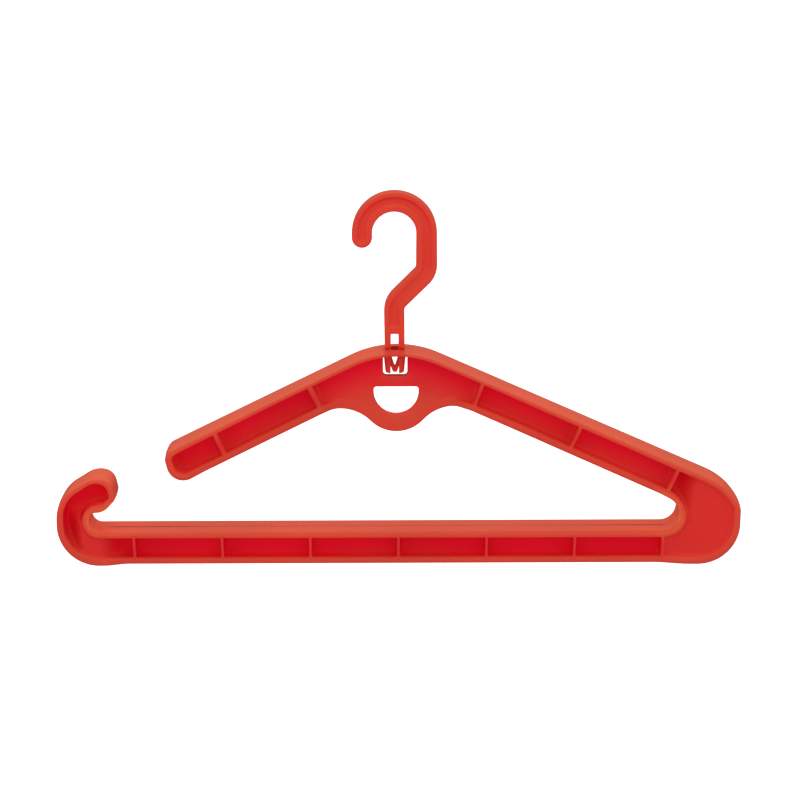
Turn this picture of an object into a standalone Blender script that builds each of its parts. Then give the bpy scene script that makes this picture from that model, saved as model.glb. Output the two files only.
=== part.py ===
"""Wetsuit hanger: an open-ended one-piece hanger body and a swivelling hook.

Frame: metres, +Z up, X along the bar, -Y towards the side that is seen first.
The origin is the rod seat, the inner crown of the hook, where the hanger hangs
on its rod. The hook turns about the Z axis through the origin.

hanger_body  one moulding: a rail of 25 mm bent into two shoulders, a straight
             bar and an upturned curl, with wide flanges all round, a web in
             the middle plane, thin ribs across the pockets, a D-shaped eye and
             a window below the swivel hole.
swivel_hook  one moulding: the hook, its stem, and a forked journal whose two
             barbed legs snap through the hole, with a V-shaped spring between.
"""

import math

import bmesh
import bpy
import numpy as np
from mathutils import Vector, geometry

MM = 0.001

# ---------------------------------------------------------------- dimensions
# Body outline on the parting plane, millimetres: corner (x, z, radius).
SHOULDER_PEAK = (-0.05, -89.45, 73.9)
END_SHOULDER = (233.8, -193.4, 48.3)
END_SIDE = (243.75, -208.8, 12.4)
END_FOOT = (242.9, -251.1, 30.1)
CURL_FOOT = (-239.15, -251.1, 30.0)
CURL_SIDE = (-238.85, -201.85, 25.7)
CURL_BACK = (-212.7, -185.9, 16.8)
CURL_TIP = (-199.45, -187.95, 10.3)
CURL_CHIN = (-196.2, -202.45, 4.6)
CURL_JAW = (-205.3, -212.2, 11.7)
THROAT_TOP = (-215.65, -212.7, 4.7)
THROAT_FOOT = (-215.6, -225.6, 7.0)
CROTCH = (240.0, -225.3, 11.2)
RING_RIGHT = (36.1, -132.75, 30.1)
RING_FOOT = (1.3, -166.4, 25.4)
RING_LEFT = (-33.3, -133.9, 30.5)
ARM_TIP_LOW = (-156.3, -195.0, 12.7)
ARM_TIP_TOP = (-163.3, -169.4, 8.4)
OUTLINE = (
    SHOULDER_PEAK, END_SHOULDER, END_SIDE, END_FOOT, CURL_FOOT, CURL_SIDE,
    CURL_BACK, CURL_TIP, CURL_CHIN, CURL_JAW, THROAT_TOP, THROAT_FOOT, CROTCH,
    RING_RIGHT, RING_FOOT, RING_LEFT, ARM_TIP_LOW, ARM_TIP_TOP,
)

POCKET_CHIN_RADIUS = 10.0  # the pocket turns the chin more gently

WIDE = 17.5  # half depth of the flanges that face up and out
NARROW = 11.0  # half depth of the flanges below the arms and the bar
PLATE = 3.0  # half thickness of the centre plate round the eye
WEB = 1.5  # half thickness of the web behind the pockets
CROWN_RADIUS = 330.0  # the flanges are slightly convex from front to back
FLAT_SHARE = 0.25  # the middle quarter of a flange is flat across
EDGE = 1.8  # rounding of the flange edges
# Flange thickness at its front edge, by how much the outline faces up.
WALL_FACING = (-1.0, -0.2, 0.3, 0.75, 1.0)
WALL = (5.1, 4.9, 4.1, 2.6, 2.5)
DRAFT = 0.6  # how far a pocket wall leans in from its mouth to its floor

RIB = 2.0
BAR_RIB_FIRST = -184.3
BAR_RIB_STEP = 62.15
BAR_RIBS = 7
LEFT_ARM_SLOPE = 26.3  # degrees
RIGHT_ARM_SLOPE = 24.2
LEFT_RIB_FIRST = 107.4  # along the arm, from the foot of the origin on it
RIGHT_RIB_FIRST = 106.2
ARM_RIB_STEP = 75.0
NEAR = 2.2  # the web stands this far behind the rims at the two lower corners

EYE = ((-14.85, -124.35, 2.1), (16.65, -124.35, 2.1), (16.65, -144.1, 15.7),
       (-14.85, -144.1, 15.7))
WINDOW = ((-8.2, -101.3, 0.0), (8.8, -101.3, 0.0), (8.8, -116.3, 2.3),
          (-8.2, -116.3, 2.3))
SWIVEL_HOLE_RADIUS = 7.05

# Hook outline, millimetres: corner (x, z, radius). The rod lies at the origin.
HOOK_INNER_RADIUS = 15.45
HOOK_OUTER_RADIUS = 29.5
STEM_HALF = 6.95
STEM_SIDE_LEFT, STEM_SIDE_RIGHT = 7.4, 6.8  # below the crank
STEM_FOOT = -96.75
HOOK = (
    (-HOOK_OUTER_RADIUS, 13.95, HOOK_OUTER_RADIUS),
    (HOOK_OUTER_RADIUS, 13.95, HOOK_OUTER_RADIUS),
    (HOOK_OUTER_RADIUS + 0.3, -45.3, 19.0),
    (STEM_SIDE_RIGHT, -67.8, 4.0),
    (STEM_HALF, STEM_FOOT, 0.0),
    (-STEM_HALF, STEM_FOOT, 0.0),
    (-STEM_SIDE_LEFT, -62.2, 20.0),
    (HOOK_INNER_RADIUS - 0.4, -39.9, 3.0),
    (HOOK_INNER_RADIUS, 0.0, HOOK_INNER_RADIUS),
    (-HOOK_INNER_RADIUS, 0.0, HOOK_INNER_RADIUS),
    (-HOOK_INNER_RADIUS, -25.3, 6.97),
    (-HOOK_OUTER_RADIUS, -25.3, 6.97),
)
HOOK_HALF_DEPTH = 6.3
HOOK_EDGE = 1.6
HOOK_RIM = 3.5
HOOK_RECESS = 1.8
HOOK_RECESS_FOOT = -81.8
SLOT = ((-2.65, -86.0, 0.6), (2.65, -86.0, 0.6), (2.95, -118.0, 0.0),
        (-2.95, -118.0, 0.0))
# Journal and barbs, turned: (radius, z).
FORK = ((6.7, -94.0), (6.7, -102.1), (7.6, -102.55), (7.6, -103.4),
        (6.5, -113.7), (5.9, -114.3))
SPRING = ((-3.5, -102.6), (-2.5, -102.6), (0.0, -110.4), (2.5, -102.6),
          (3.5, -102.6), (3.5, -108.9), (2.95, -109.2), (1.6, -113.7),
          (-1.25, -113.7), (-2.95, -109.2), (-3.5, -108.9))
SPRING_HALF_DEPTH = 3.2

ARC_GAP = 0.12  # how far an arc's chords may stray from it
ARC_STEP = math.radians(15)
LONGEST_RUN = 22.0


# ------------------------------------------------------------------ outlines
def rounded(corners, step=ARC_STEP, longest=LONGEST_RUN, join=1.2):
    """Closed outline: straight runs between the corners, joined by arcs.
    Arcs that nearly meet are made to share one point."""
    arcs = []
    count = len(corners)
    for i, (x, z, r) in enumerate(corners):
        p = np.array((x, z))
        u = np.array(corners[i - 1][:2]) - p
        v = np.array(corners[(i + 1) % count][:2]) - p
        u, v = u / np.linalg.norm(u), v / np.linalg.norm(v)
        if r <= 0:
            arcs.append([p])
            continue
        half = math.acos(float(np.clip(u @ v, -1, 1))) / 2
        centre = p + (u + v) / np.linalg.norm(u + v) * r / math.sin(half)
        start = p + u * r / math.tan(half) - centre
        end = p + v * r / math.tan(half) - centre
        a0, a1 = math.atan2(start[1], start[0]), math.atan2(end[1], end[0])
        turn = (a1 - a0 + math.pi) % (2 * math.pi) - math.pi
        chord = min(step, 2 * math.acos(1 - min(ARC_GAP / r, 1)))
        parts = max(2, math.ceil(abs(turn) / chord))
        angles = [a0 + turn * j / parts for j in range(parts + 1)]
        arcs.append(
            [centre + r * np.array((math.cos(a), math.sin(a))) for a in angles]
        )
    for i, arc in enumerate(arcs):
        after = arcs[(i + 1) % count]
        if len(arc) > 1 and np.linalg.norm(arc[-1] - after[0]) < join:
            after[0] = (arc.pop() + after[0]) / 2
    pts = [p for arc in arcs for p in arc]
    out = []
    for i, p in enumerate(pts):
        q = pts[(i + 1) % len(pts)]
        parts = max(1, math.ceil(np.linalg.norm(q - p) / longest))
        out += [p + (q - p) * k / parts for k in range(parts)]
    return np.array(out)


def area(loop):
    x, z = loop[:, 0], loop[:, 1]
    return 0.5 * float(np.sum(x * np.roll(z, -1) - np.roll(x, -1) * z))


def outward(loop):
    """Offset directions that keep a moved loop parallel to itself."""
    run = np.roll(loop, -1, 0) - loop
    run /= np.linalg.norm(run, axis=1)[:, None]
    side = np.c_[run[:, 1], -run[:, 0]] * (1 if area(loop) > 0 else -1)
    before = np.roll(side, 1, 0)
    return (side + before) / (1 + np.sum(side * before, axis=1))[:, None]


def smooth_step(a, b, x):
    t = np.clip((x - a) / (b - a), 0, 1)
    return t * t * (3 - 2 * t)


def inside(points, loop):
    """Which points lie within a closed loop."""
    x, z = points[:, 0][:, None], points[:, 1][:, None]
    x0, z0 = loop[:, 0], loop[:, 1]
    x1, z1 = np.roll(x0, -1), np.roll(z0, -1)
    spans = (z0 > z) != (z1 > z)
    with np.errstate(divide="ignore", invalid="ignore"):
        at = x0 + (z - z0) * (x1 - x0) / (z1 - z0)
    return (np.sum(spans & (x < at), axis=1) % 2).astype(bool)


def flat(corner):
    (ax, az), (bx, bz) = corner[1] - corner[0], corner[2] - corner[0]
    return abs(ax * bz - az * bx) < 1e-3


def triangulate(loops, holes, extra):
    """Triangles over the first loop, keeping every loop as edges."""
    verts, edges, owner = [], [], []
    for k, loop in enumerate(loops):
        first = len(verts)
        verts += [Vector(map(float, p)) for p in loop]
        owner += [(k, i) for i in range(len(loop))]
        edges += [
            (first + i, first + (i + 1) % len(loop)) for i in range(len(loop))
        ]
    verts += [Vector(map(float, p)) for p in extra]
    owner += [(-1, i) for i in range(len(extra))]
    got = geometry.delaunay_2d_cdt(verts, edges, [], 0, 1e-5, True)
    points, faces, origin = np.array(got[0]), got[2], got[3]
    middle = np.array([points[list(f)].mean(axis=0) for f in faces])
    keep = inside(middle, loops[0])
    for hole in holes:
        keep &= ~inside(middle, hole)
    faces = [list(f) for f, ok in zip(faces, keep) if ok]
    # Points in line along the outer edge can make a flat face there.
    faces = [f for f in faces if not (max(f) < len(loops[0]) and flat(points[f]))]
    if not all(origin):
        raise ValueError("two of the loops cross")
    return points, faces, [owner[o[0]] for o in origin]


# --------------------------------------------------------------- body shape
def along_outline(outline):
    lengths = np.linalg.norm(np.roll(outline, -1, 0) - outline, axis=1)
    return np.r_[0, np.cumsum(lengths)]


def station(outline, at, point):
    """Distance along the outline of the place nearest to a point."""
    p = np.array(point, float)
    run = np.roll(outline, -1, 0) - outline
    t = np.clip(
        np.sum((p - outline) * run, axis=1) / np.sum(run * run, axis=1), 0, 1
    )
    gap = np.linalg.norm(outline + run * t[:, None] - p, axis=1)
    i = int(np.argmin(gap))
    return at[i] + t[i] * np.linalg.norm(run[i])


def half_depths(outline, at):
    """Half depth of the flange at each point of the outline."""
    marks = (
        ((0, -97), WIDE), ((208, -251), WIDE), ((182, -251), NARROW),
        ((-188, -251), NARROW), ((-206, -251), WIDE), ((199, -214), WIDE),
        ((184, -200), NARROW), ((51, -140), NARROW), ((39, -138.8), PLATE),
        ((-39, -140), PLATE), ((-51, -143), NARROW), ((-132, -183), NARROW),
        ((-157, -187), WIDE),
    )
    where = [station(outline, at, m[0]) for m in marks]
    where.append(where[0] + at[-1])
    depth = [m[1] for m in marks] + [marks[0][1]]
    out = []
    for s in at[:-1]:
        s = s if s >= where[0] else s + at[-1]
        k = max(i for i in range(len(where) - 1) if where[i] <= s + 1e-9)
        t = smooth_step(where[k], where[k + 1], s)
        out.append(depth[k] + (depth[k + 1] - depth[k]) * float(t))
    return np.array(out)


def spread(points, outline, depth):
    """Half depth carried inwards from the outline, nearest edge first."""
    gap = np.sum((points[:, None, :] - outline[None]) ** 2, axis=2) + 0.05
    lengths = np.linalg.norm(np.roll(outline, -1, 0) - np.roll(outline, 1, 0), axis=1)
    weight = lengths[None] / gap**2
    return (weight @ depth) / weight.sum(axis=1)


def raised(points):
    """1 where the web of the two lower corners stands near the front."""
    x, z = points[:, 0], points[:, 1]
    right = smooth_step(202.0, 211.5, x - 0.15 * (z + 187.0))
    right = np.maximum(right, smooth_step(-213.0, -223.0, z))
    left = smooth_step(-227.0, -218.5, x) * smooth_step(-193.0, -209.0, x)
    left = left * smooth_step(-210.0, -218.0, z)
    return np.where(x > 0, right, left)


def arm_frame(slope, side):
    a = math.radians(slope)
    return np.array((side * math.cos(a), -math.sin(a)))


def rib_mark(slope, side, distance, up):
    """Point on the upper or lower edge of an arm, on the line of a rib."""
    run = arm_frame(slope, side)
    across = np.array((-side * run[1], side * run[0]))
    middle = -103.2  # the middle lines of both arms meet at this height
    foot = run * distance
    foot = foot + across * (np.array((0.0, middle)) @ across)
    return foot + across * (12.65 if up else -12.65)


def stretch(outline, at, depth, first, last):
    """The pocket edge along the outline between two places on it."""
    s0, s1 = station(outline, at, first), station(outline, at, last)
    if s1 <= s0:
        s1 += at[-1]
    inner = [s for s in np.r_[at[:-1], at[:-1] + at[-1]] if s0 + 1.2 < s < s1 - 1.2]
    stops = np.array([s0] + inner + [s1])
    wrapped = np.r_[outline, outline, outline[:1]]
    line = np.r_[at[:-1], at[:-1] + at[-1], 2 * at[-1]]
    turned = outward(outline)
    turned = np.r_[turned, turned, turned[:1]]
    depths = np.r_[depth, depth, depth[:1]]
    x, z, nx, nz, h = (
        np.interp(stops, line, v)
        for v in (wrapped[:, 0], wrapped[:, 1], turned[:, 0], turned[:, 1], depths)
    )
    # The run's own direction gives the facing at its two cut ends.
    wall = np.interp(nz / np.hypot(nx, nz), WALL_FACING, WALL)
    inset = wall + h * h / (2 * CROWN_RADIUS)
    return np.c_[x - nx * inset, z - nz * inset]


def pockets(outline, at, depth):
    """Mouths of the pockets, each a closed loop."""
    half = RIB / 2
    run = lambda a, b: stretch(outline, at, depth, a, b)
    ribs = [BAR_RIB_FIRST + BAR_RIB_STEP * k for k in range(BAR_RIBS)]
    left = lambda k, shift, up: rib_mark(
        LEFT_ARM_SLOPE, -1, LEFT_RIB_FIRST + ARM_RIB_STEP * k + shift, up
    )
    right = lambda k, shift, up: rib_mark(
        RIGHT_ARM_SLOPE, 1, RIGHT_RIB_FIRST + ARM_RIB_STEP * k + shift, up
    )
    foot, top = -251.0, -225.55
    loops = []
    for a, b in zip(ribs, ribs[1:]):
        loops.append(np.r_[
            run((b - half, foot), (a + half, foot)),
            run((a + half, top), (b - half, top)),
        ])
    curl = run((ribs[0] - half, foot), (ribs[0] - half, top))
    corner = np.r_[
        run(right(2, half, True), (ribs[-1] + half, foot)),
        run((ribs[-1] + half, top), right(2, half, False)),
    ]
    centre = np.r_[
        run(left(0, -half, True), right(0, -half, True)),
        run(right(0, -half, False), left(0, -half, False)),
    ]
    for k in (0, 1):
        loops.append(np.r_[
            run(right(k, half, True), right(k + 1, -half, True)),
            run(right(k + 1, -half, False), right(k, half, False)),
        ])
    loops.append(np.r_[
        run(left(1, -half, True), left(0, half, True)),
        run(left(0, half, False), left(1, -half, False)),
    ])
    loops.append(run(left(1, half, False), left(1, half, True)))
    return loops + [curl, corner, centre]


def build_mesh(name, verts, faces):
    mesh = bpy.data.meshes.new(name)
    bm = bmesh.new()
    made = [bm.verts.new(Vector(v) * MM) for v in verts]
    for f in faces:
        bm.faces.new([made[i] for i in f])
    bmesh.ops.recalc_face_normals(bm, faces=bm.faces[:])
    bm.to_mesh(mesh)
    bm.free()
    return mesh


def slab(loop_rows, cap_points, cap_faces, cap_owner, heights):
    """A closed body: rows of loops round the edge, and the same cap on the
    front and the back. loop_rows holds (loop, y of each point) from the front
    rim round to the back rim; heights gives the y of every cap point on the
    front and on the back."""
    verts, faces = [], []
    size = len(loop_rows[0][0])
    for loop, y in loop_rows:
        verts += [(p[0], d, p[1]) for p, d in zip(loop, y)]
    for k in range(len(loop_rows) - 1):
        a, b = k * size, (k + 1) * size
        faces += [
            (a + i, a + (i + 1) % size, b + (i + 1) % size, b + i)
            for i in range(size)
        ]
    return verts, faces, size


def add_cap(verts, faces, points, tris, owner, y, rim_start, hole_start, flip):
    """Adds one cap, sharing the rim's and the holes' vertices."""
    index = []
    for (p, d, (k, i)) in zip(points, y, owner):
        if k == 0:
            index.append(rim_start + i)
        elif k in hole_start:
            index.append(hole_start[k] + i)
        else:
            index.append(len(verts))
            verts.append((p[0], d, p[1]))
    for f in tris:
        f = [index[i] for i in f]
        faces.append(f[::-1] if flip else f)


def edge_rows(loop, depth, edge, crown, arcs):
    """(inset, y) rows from the front rim over the outer face to the back."""
    turned = outward(loop)
    rows = []
    flat = depth - edge
    for j in range(arcs + 1):
        a = math.pi / 2 * (1 - j / arcs)
        inset = flat**2 / (2 * crown) + edge * (1 - math.cos(a))
        rows.append((inset, flat + edge * math.sin(a)))
    rows.append((np.zeros(len(loop)), FLAT_SHARE * depth))
    out = [(loop - turned * i[:, None], -y) for i, y in rows]
    return out + [(l, -y) for l, y in out[::-1]]


def make_body():
    outline = rounded(OUTLINE)
    depth = half_depths(outline, along_outline(outline))
    soft = [
        (x, z, POCKET_CHIN_RADIUS if (x, z, r) == CURL_CHIN else r)
        for x, z, r in OUTLINE
    ]
    soft = rounded(soft)
    edge = np.minimum(EDGE, 0.4 * depth)
    rows = edge_rows(outline, depth, edge, CROWN_RADIUS, 2)
    rim = rows[0][0]
    at = along_outline(soft)
    mouths = pockets(soft, at, half_depths(soft, at))
    floors = [m - outward(m) * DRAFT for m in mouths]
    eye = rounded(EYE, ARC_STEP, 20)
    extra = []
    for z in np.arange(-246, -96, 6.5):
        for x in np.arange(-236, 242, 8.0):
            extra.append((x + (3.1 if int(z) % 2 else 0), z))
    extra = np.array(extra)
    in_step = np.zeros(len(extra), bool)
    for floor in floors[-3:-1]:
        slim = floor - outward(floor) * 2.5
        in_step |= inside(extra, slim)
    extra = extra[in_step]
    loops = [rim] + mouths + floors + [eye]
    eye_key = len(loops) - 1
    points, tris, owner = triangulate(loops, [eye], extra)

    # Front and back heights: land, then pocket floors.
    land = spread(points, outline, depth)
    count = len(mouths)
    on_floor = np.array(
        [k == -1 or count < k <= 2 * count + 1 for k, _ in owner]
    )
    in_centre = inside(points, mouths[-1])
    thick = np.where(in_centre, PLATE, WEB)
    stepped = np.array([k in (-1, 2 * count - 2, 2 * count - 1) for k, _ in owner])
    shift = raised(points) * (land - WEB - NEAR) * stepped
    front = np.where(on_floor, -(thick + shift), -land)
    back = np.where(on_floor, thick - shift, land)

    verts, faces, size = slab(rows, None, None, None, None)
    front_eye = len(verts)
    verts += [(p[0], -PLATE, p[1]) for p in eye]
    back_eye = len(verts)
    verts += [(p[0], PLATE, p[1]) for p in eye]
    n = len(eye)
    faces += [
        (front_eye + i, back_eye + i, back_eye + (i + 1) % n, front_eye + (i + 1) % n)
        for i in range(n)
    ]
    add_cap(verts, faces, points, tris, owner, front, 0, {eye_key: front_eye}, False)
    add_cap(
        verts, faces, points, tris, owner, back,
        size * (len(rows) - 1), {eye_key: back_eye}, True,
    )
    return build_mesh("hanger_body", verts, faces)


# --------------------------------------------------------------- hook shape
def make_hook():
    outline = rounded(HOOK, ARC_STEP, 30)
    depth = np.full(len(outline), HOOK_HALF_DEPTH)
    edge = np.full(len(outline), HOOK_EDGE)
    rows = edge_rows(outline, depth, edge, 1e6, 2)
    recess = []
    turned = outward(outline)
    for p, d in zip(outline, turned):
        if p[1] > HOOK_RECESS_FOOT + 8.0:
            recess.append(p - d * HOOK_RIM)
    # The recess closes squarely across the stem.
    cut = next(
        i for i, p in enumerate(outline) if abs(p[1] - STEM_FOOT) < 0.01
    )
    before = sum(1 for p in outline[:cut] if p[1] > HOOK_RECESS_FOOT + 8.0)
    inner = STEM_HALF - HOOK_RIM
    recess[before:before] = [
        np.array((inner, HOOK_RECESS_FOOT)), np.array((-inner, HOOK_RECESS_FOOT))
    ]
    recess = np.array(recess)
    floor = recess - outward(recess) * 0.35
    loops = [rows[0][0], recess, floor]
    points, tris, owner = triangulate(loops, [], [])
    low = HOOK_HALF_DEPTH - HOOK_RECESS
    y = np.array([low if k == 2 else HOOK_HALF_DEPTH for k, _ in owner])
    verts, faces, size = slab(rows, None, None, None, None)
    add_cap(verts, faces, points, tris, owner, -y, 0, {}, False)
    add_cap(verts, faces, points, tris, owner, y, size * (len(rows) - 1), {}, True)
    return build_mesh("swivel_hook", verts, faces)


def prism(name, loop, half_depth):
    """Helper solid: an outline in XZ, run through along Y."""
    loop = np.array(loop)[:, :2]
    n = len(loop)
    verts = [(x, -half_depth, z) for x, z in loop]
    verts += [(x, half_depth, z) for x, z in loop]
    faces = [(i, (i + 1) % n, n + (i + 1) % n, n + i) for i in range(n)]
    faces += [list(range(n))[::-1], list(range(n, 2 * n))]
    return helper(name, build_mesh(name, verts, faces))


def turned(name, profile, sides):
    """Helper solid turned about the swivel axis: profile of (radius, z)."""
    verts, faces = [], []
    for r, z in profile:
        for i in range(sides):
            a = 2 * math.pi * (i + 0.5) / sides
            verts.append((r * math.cos(a), r * math.sin(a), z))
    for k in range(len(profile) - 1):
        for i in range(sides):
            j = (i + 1) % sides
            a, b = k * sides, (k + 1) * sides
            faces.append((a + i, a + j, b + j, b + i))
    faces.append(list(range(sides))[::-1])
    last = (len(profile) - 1) * sides
    faces.append(list(range(last, last + sides)))
    return helper(name, build_mesh(name, verts, faces))


def helper(name, mesh):
    obj = bpy.data.objects.new(name, mesh)
    bpy.context.scene.collection.objects.link(obj)
    obj.hide_render = True
    obj.display_type = "WIRE"
    obj.hide_set(True)
    return obj


def boolean(obj, other, operation):
    mod = obj.modifiers.new(other.name, "BOOLEAN")
    mod.operation = operation
    mod.solver = "EXACT"
    mod.object = other


def plastic(name, colour, roughness):
    mat = bpy.data.materials.new(name)
    mat.use_nodes = True
    shader = mat.node_tree.nodes["Principled BSDF"]
    shader.inputs["Base Color"].default_value = (*colour, 1)
    shader.inputs["Roughness"].default_value = roughness
    shader.inputs["Metallic"].default_value = 0.0
    mat.diffuse_color = (*colour, 1)
    return mat


def node(name, mesh, material):
    mesh.materials.append(material)
    mesh.shade_smooth()
    mesh.set_sharp_from_angle(angle=math.radians(32))
    obj = bpy.data.objects.new(name, mesh)
    bpy.context.scene.collection.objects.link(obj)
    return obj


def main():
    for obj in list(bpy.data.objects):
        bpy.data.objects.remove(obj, do_unlink=True)

    body = node("hanger_body", make_body(), plastic("body_plastic", (0.72, 0.05, 0.025), 0.38))
    hook = node("swivel_hook", make_hook(), plastic("hook_plastic", (0.70, 0.05, 0.03), 0.40))

    window = prism("window_cutter", rounded(WINDOW, ARC_STEP, 50), 3.4)
    boolean(body, window, "DIFFERENCE")
    r = SWIVEL_HOLE_RADIUS
    hole = turned("swivel_hole_cutter", ((r, -90.0), (r, -104.0)), 40)
    boolean(body, hole, "DIFFERENCE")

    boolean(hook, turned("fork_blank", FORK, 40), "UNION")
    boolean(hook, prism("slot_cutter", rounded(SLOT, ARC_STEP, 50), 12.0), "DIFFERENCE")
    boolean(hook, prism("spring_blank", SPRING, SPRING_HALF_DEPTH), "UNION")

    # Both pieces have their origin on the swivel axis, at the rod seat.
    pivot = bpy.data.objects.new("swivel_axis", None)
    bpy.context.scene.collection.objects.link(pivot)
    body.parent = pivot


main()
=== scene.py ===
import math

import bmesh
import bpy
import numpy as np
from mathutils import Matrix, Vector, geometry
from mathutils.bvhtree import BVHTree


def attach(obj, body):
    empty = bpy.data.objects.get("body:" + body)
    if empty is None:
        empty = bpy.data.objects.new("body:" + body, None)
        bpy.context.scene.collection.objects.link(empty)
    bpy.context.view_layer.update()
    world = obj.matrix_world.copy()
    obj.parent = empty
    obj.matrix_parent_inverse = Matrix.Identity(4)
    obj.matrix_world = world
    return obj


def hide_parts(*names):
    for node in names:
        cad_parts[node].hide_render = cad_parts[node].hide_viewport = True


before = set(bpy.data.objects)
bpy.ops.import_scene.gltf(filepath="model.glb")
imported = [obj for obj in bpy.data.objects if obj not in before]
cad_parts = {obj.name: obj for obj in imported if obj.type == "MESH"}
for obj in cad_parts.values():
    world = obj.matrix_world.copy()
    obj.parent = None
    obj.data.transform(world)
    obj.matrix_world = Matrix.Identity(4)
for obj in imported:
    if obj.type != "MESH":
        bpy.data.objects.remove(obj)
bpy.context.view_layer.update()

MM = 0.001

# ------------------------------------------------------------------ outlines
# Body outline on the parting plane, millimetres: corner (x, z, radius).
OUTLINE = (
    (-0.05, -89.45, 73.9), (233.8, -193.4, 48.3), (243.75, -208.8, 12.4),
    (242.9, -251.1, 30.1), (-239.15, -251.1, 30.0), (-238.85, -201.85, 25.7),
    (-212.7, -185.9, 16.8), (-199.45, -187.95, 10.3), (-196.2, -202.45, 4.6),
    (-205.3, -212.2, 11.7), (-215.65, -212.7, 4.7), (-215.6, -225.6, 7.0),
    (240.0, -225.3, 11.2), (36.1, -132.75, 30.1), (1.3, -166.4, 25.4),
    (-33.3, -133.9, 30.5), (-156.3, -195.0, 12.7), (-163.3, -169.4, 8.4),
)
CHIN = 8
# Half depth of the flange at places on the outline, clockwise from the peak.
WIDE, NARROW, PLATE, WEB = 17.5, 11.0, 3.0, 1.5
DEPTH_MARKS = (
    ((0, -97), WIDE), ((208, -251), WIDE), ((182, -251), NARROW),
    ((-188, -251), NARROW), ((-206, -251), WIDE), ((199, -214), WIDE),
    ((184, -200), NARROW), ((51, -140), NARROW), ((39, -138.8), PLATE),
    ((-39, -140), PLATE), ((-51, -143), NARROW), ((-132, -183), NARROW),
    ((-157, -187), WIDE),
)
# How far the pocket mouths lie inside the outline, clockwise from the peak.
INSET_MARKS = (
    ((-27, -103.2), 2.9), ((0, -97), 2.8), ((62, -117), 2.8), ((95, -132), 3.1), ((131, -148), 3.5),
    ((165, -163.5), 3.5), ((200, -179), 4.1), ((228, -192), 4.4),
    ((240, -205), 4.6), ((243.5, -219), 5.1), ((238, -240), 5.9),
    ((212, -251), 6.2), ((190, -251), 5.2),
    ((0, -251), 5.1), ((-190, -251), 5.1), ((-212, -251), 6.4),
    ((-230, -243), 5.9), ((-238, -227), 5.4), ((-238.6, -215.2), 5.1),
    ((-237.5, -208.6), 4.7), ((-234.3, -202.2), 4.4), ((-229, -196.6), 3.8),
    ((-218.2, -189.8), 3.4), ((-211.6, -187.3), 3.5), ((-204.6, -187.9), 4.2),
    ((-199.2, -192.5), 4.4), ((-197.6, -197.6), 4.1), ((-198.1, -203), 4.1),
    ((-201.5, -207.7), 4.6), ((-206.7, -211.4), 6.5), ((-211.7, -212.4), 5.8),
    ((-213.5, -213.5), 5.1), ((-215, -215.3), 4.7), ((-215.6, -218.1), 4.5),
    ((-215.3, -221), 4.3), ((-213.6, -223.7), 4.3), ((-207, -226), 4.3),
    ((0, -225.8), 4.7),
    ((187.5, -225.8), 4.9), ((192.3, -225), 5.2), ((196.9, -221.8), 5.8),
    ((199.7, -215.6), 5.5), ((199, -210.1), 4.2), ((190, -203), 5.4),
    ((121.3, -171.1), 5.4), ((91.1, -157.3), 5.8), ((54.2, -140.6), 5.0),
    ((0, -157), 5.4),
    ((-52, -142.9), 5.9), ((-90.9, -162.1), 5.8), ((-119, -176.4), 5.3),
    ((-141.7, -187.5), 5.5), ((-149.4, -188.8), 5.7), ((-161, -179), 5.4),
    ((-159.9, -169.4), 5.0), ((-153.1, -164.8), 3.9), ((-129.3, -153.1), 3.5),
    ((-82.8, -130.3), 2.8),
)
# Ribs: centre line from its upper to its lower end, and thickness.
BAR_RIBS = [
    ((-184.3 + 62.15 * k, -225.45), (-184.3 + 62.15 * k, -250.9), 1.9)
    for k in range(7)
]
LEFT_RIBS = [
    ((-58.9, -122.3), (-52.8, -136.9), 3.4),
    ((-125.6, -155.7), (-119.8, -171.1), 2.9),
]
RIGHT_RIBS = [
    ((61.1, -120.0), (56.0, -136.2), 2.2),
    ((129.4, -152.2), (123.9, -167.0), 2.2),
    ((198.1, -183.0), (192.4, -198.0), 2.2),
]

EDGE = 3.2  # rounding of the flanges' outer edges, where there is room
FILLET = 2.4  # rounding at the pocket floors
DRAFT = 0.03
CORNER = 0.9  # rounding of the pockets' upright corners
CROWN_SLOPE = 0.004
CROWN_CURVE = 1 / 660
EYE = ((-14.85, -124.35, 2.1), (16.65, -124.35, 2.1), (16.65, -144.1, 15.7),
       (-14.85, -144.1, 15.7))
WINDOW = ((-8.2, -101.6, 0.6), (8.8, -101.6, 0.6), (8.8, -116.3, 2.3),
          (-8.2, -116.3, 2.3))
SWIVEL_HOLE_RADIUS = 7.05
NEAR = 2.2  # how far the raised web lies behind the flanges' front


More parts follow.
